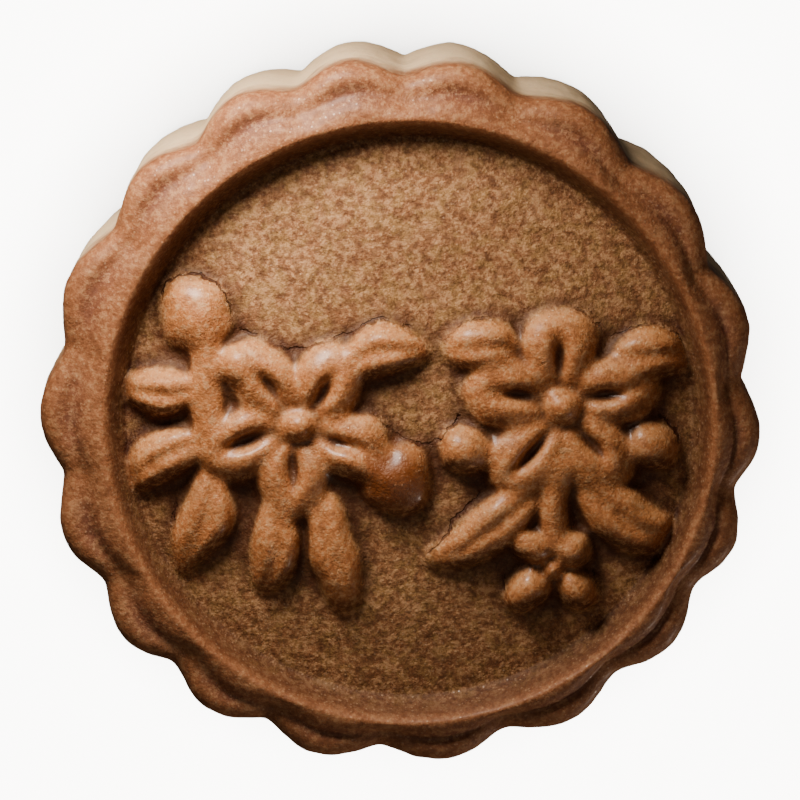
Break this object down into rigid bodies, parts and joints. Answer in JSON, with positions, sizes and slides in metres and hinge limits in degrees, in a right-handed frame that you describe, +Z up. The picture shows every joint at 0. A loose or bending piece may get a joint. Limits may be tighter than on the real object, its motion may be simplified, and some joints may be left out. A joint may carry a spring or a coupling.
{
  "type": "mooncake",
  "caption": "Round baked mooncake with a fluted side, a smooth raised rim and a sunken top pressed with a blossom and leaf pattern.",
  "frame": {"origin": "centre of the flat base the cake stands on", "axes": "+Z up from the base to the pressed top, +Y towards the bare upper part of the top's pattern, +X to the right of the pattern seen from above"},
  "size_m": [0.0658, 0.0648, 0.028],
  "materials": {
    "crust": "baked, satin"
  },
  "bodies": {
    "root": {"mooncake": "crust"}
  },
  "joints": []
}
